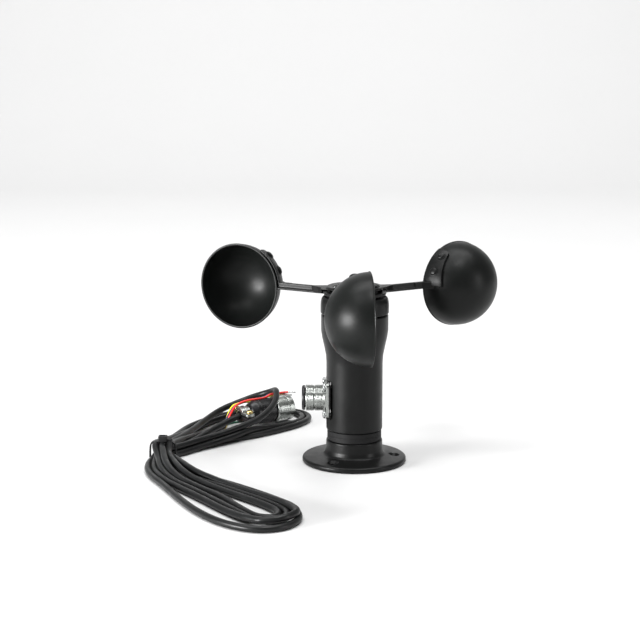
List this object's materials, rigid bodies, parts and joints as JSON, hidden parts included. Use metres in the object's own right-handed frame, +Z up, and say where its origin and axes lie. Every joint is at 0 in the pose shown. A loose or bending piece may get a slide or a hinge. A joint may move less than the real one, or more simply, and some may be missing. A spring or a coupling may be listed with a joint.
{
  "type": "cup anemometer",
  "caption": "Cup wind-speed sensor on a round mounting flange: hemispherical cups spin on a bearing head, with a side socket and an unplugged signal cable tied in a hank.",
  "frame": {"origin": "centre of the underside of the mounting flange, on the rotor axis", "axes": "+Z up along the rotor axis, -X out of the side socket"},
  "size_m": [0.2148, 0.2623, 0.1282],
  "materials": {
    "powder_black": "satin black powder coat, fine orange peel",
    "cup_black": "satin black moulded cup",
    "steel": "plain machined steel",
    "chrome": "satin nickel-chrome plate",
    "brass": "plated brass",
    "aluminium": "turned aluminium",
    "rubber_black": "black rubber",
    "tie_black": "black nylon",
    "bakelite_black": "black moulded insulator",
    "cable_black": "black PVC cable sheath",
    "board_green": "green circuit board",
    "wire_red": "red PVC",
    "wire_yellow": "yellow PVC",
    "wire_green": "green PVC",
    "wire_blue": "dark blue PVC"
  },
  "bodies": {
    "root": {"lower_bearing_outer": "steel", "upper_bearing_outer": "steel", "body_shell": "powder_black", "base_flange": "powder_black", "base_seal": "rubber_black", "bearing_carrier": "aluminium", "encoder_board": "board_green", "opto_sensor": "bakelite_black", "inner_harness": "wire_blue", "socket_gasket": "rubber_black", "socket_shell": "chrome", "socket_insert": "bakelite_black", "socket_pin_1": "brass", "socket_pin_2": "brass", "socket_pin_3": "brass", "socket_pin_4": "brass", "socket_screw_1": "steel", "socket_screw_2": "steel", "socket_screw_3": "steel", "socket_screw_4": "steel", "hank_upper": "cable_black", "hank_lower": "cable_black", "cable_lead": "cable_black", "cable_tie": "tie_black", "plug_shell": "bakelite_black", "plug_clamp": "chrome", "plug_clamp_screw_1": "brass", "plug_clamp_screw_2": "brass", "plug_insert": "bakelite_black", "wire_red": "wire_red", "wire_yellow": "wire_yellow", "wire_green": "wire_green", "wire_blue": "wire_blue"},
    "rotor": {"cup_1": "cup_black", "cup_2": "cup_black", "cup_3": "cup_black", "arm_1": "powder_black", "arm_2": "powder_black", "arm_3": "powder_black", "cup_rivet_1a": "powder_black", "cup_rivet_1b": "powder_black", "cup_rivet_2a": "powder_black", "cup_rivet_2b": "powder_black", "cup_rivet_3a": "powder_black", "cup_rivet_3b": "powder_black", "hub_base": "powder_black", "hub_cap": "powder_black", "hub_screw_1": "steel", "hub_screw_2": "steel", "hub_screw_3": "steel", "shaft_nut": "powder_black", "rotor_skirt": "powder_black", "rotor_shaft": "steel", "encoder_disc": "steel", "lower_bearing_inner": "steel", "upper_bearing_inner": "steel"},
    "lower_balls": {"lower_ball_cage": "brass"},
    "upper_balls": {"upper_ball_cage": "brass"},
    "coupling_ring": {"plug_coupling_ring": "chrome"}
  },
  "joints": [
    {"name": "rotor_spin", "type": "hinge", "parent": "root", "child": "rotor", "pos_m": [0, 0, 0.09], "axis": [0, 0, 1], "continuous": true},
    {"name": "lower_balls_roll", "type": "hinge", "parent": "root", "child": "lower_balls", "pos_m": [0, 0, 0.0681], "axis": [0, 0, 1], "continuous": true},
    {"name": "upper_balls_roll", "type": "hinge", "parent": "root", "child": "upper_balls", "pos_m": [0, 0, 0.0935], "axis": [0, 0, 1], "continuous": true},
    {"name": "coupling_ring_turn", "type": "hinge", "parent": "root", "child": "coupling_ring", "pos_m": [-0.04887, 0.09425, 0.0091], "axis": [0.809, 0.5878, 0], "continuous": true}
  ],
  "couplings": [
    {"joint": "lower_balls_roll", "follows": "rotor_spin", "ratio": 0.372},
    {"joint": "upper_balls_roll", "follows": "rotor_spin", "ratio": 0.372}
  ]
}
